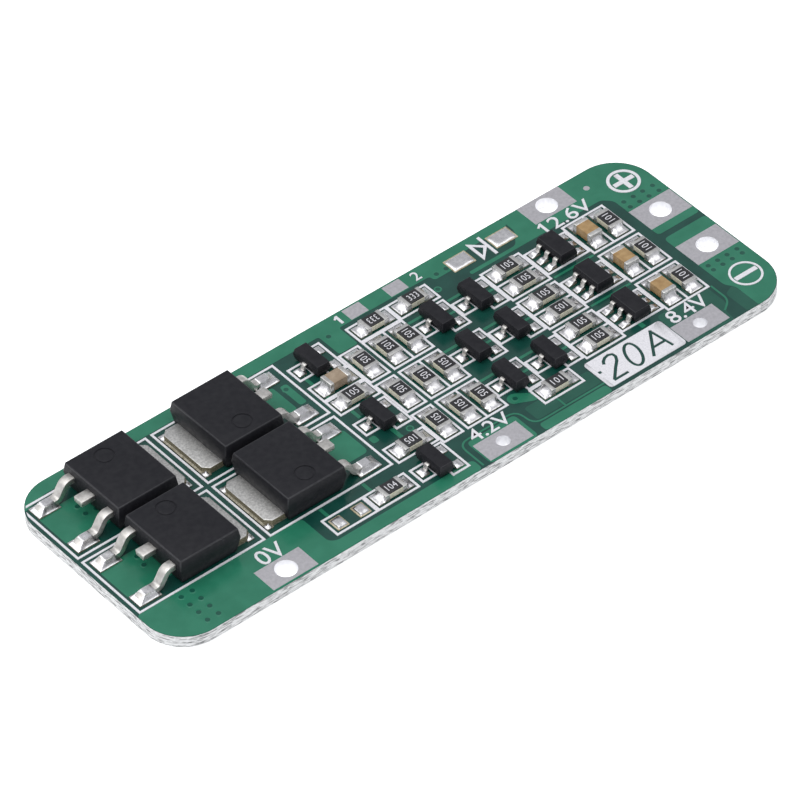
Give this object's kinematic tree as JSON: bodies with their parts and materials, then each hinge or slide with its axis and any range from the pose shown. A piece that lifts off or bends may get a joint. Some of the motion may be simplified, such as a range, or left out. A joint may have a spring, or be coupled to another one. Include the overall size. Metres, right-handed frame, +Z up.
{
  "type": "battery management board",
  "caption": "Narrow green circuit board that guards a row of lithium cells, with power transistors at one end, rows of small parts and plated wire holes in bare copper plates.",
  "frame": {"origin": "centre of the board's underside", "axes": "+X runs along the board from the power transistors to the pack terminals, +Y across it to the far long edge, +Z up out of the fitted face"},
  "size_m": [0.059, 0.02, 0.0034],
  "materials": {
    "board": "glossy green lacquer over glass-fibre laminate",
    "tinned_plate": "matt tinned copper",
    "tinned_lead": "satin tin plating",
    "solder": "bright solder",
    "mould": "fine matt moulding compound",
    "resistor": "cream ceramic with a black glazed field",
    "capacitor": "tan ceramic with silver ends",
    "ink": "white printing ink"
  },
  "bodies": {
    "root": {"pcb": "board", "pad_0v": "tinned_plate", "pad_4v2": "tinned_plate", "pad_8v4": "tinned_plate", "pad_12v6": "tinned_plate", "pad_plus": "tinned_plate", "pad_minus": "tinned_plate", "bare_lands": "solder", "power_transistor_1_body": "mould", "power_transistor_2_body": "mould", "power_transistor_3_body": "mould", "power_transistor_4_body": "mould", "power_transistor_1_leads": "tinned_lead", "power_transistor_2_leads": "tinned_lead", "power_transistor_3_leads": "tinned_lead", "power_transistor_4_leads": "tinned_lead", "resistor_1": "resistor", "resistor_2": "resistor", "resistor_3": "resistor", "resistor_4": "resistor", "resistor_5": "resistor", "resistor_6": "resistor", "resistor_7": "resistor", "resistor_8": "resistor", "resistor_9": "resistor", "resistor_10": "resistor", "resistor_11": "resistor", "resistor_12": "resistor", "resistor_13": "resistor", "resistor_14": "resistor", "resistor_15": "resistor", "resistor_16": "resistor", "resistor_17": "resistor", "resistor_18": "resistor", "resistor_19": "resistor", "resistor_20": "resistor", "resistor_21": "resistor", "resistor_22": "resistor", "resistor_23": "resistor", "resistor_24": "resistor", "capacitor_1": "capacitor", "capacitor_2": "capacitor", "capacitor_3": "capacitor", "capacitor_4": "capacitor", "small_transistor_1": "mould", "small_transistor_2": "mould", "small_transistor_3": "mould", "small_transistor_4": "mould", "small_transistor_5": "mould", "small_transistor_6": "mould", "small_transistor_7": "mould", "small_transistor_8": "mould", "small_transistor_9": "mould", "cell_monitor_1": "mould", "cell_monitor_2": "mould", "cell_monitor_3": "mould", "solder_power": "solder", "solder_chips": "solder", "solder_small": "solder", "print": "ink"}
  },
  "joints": []
}
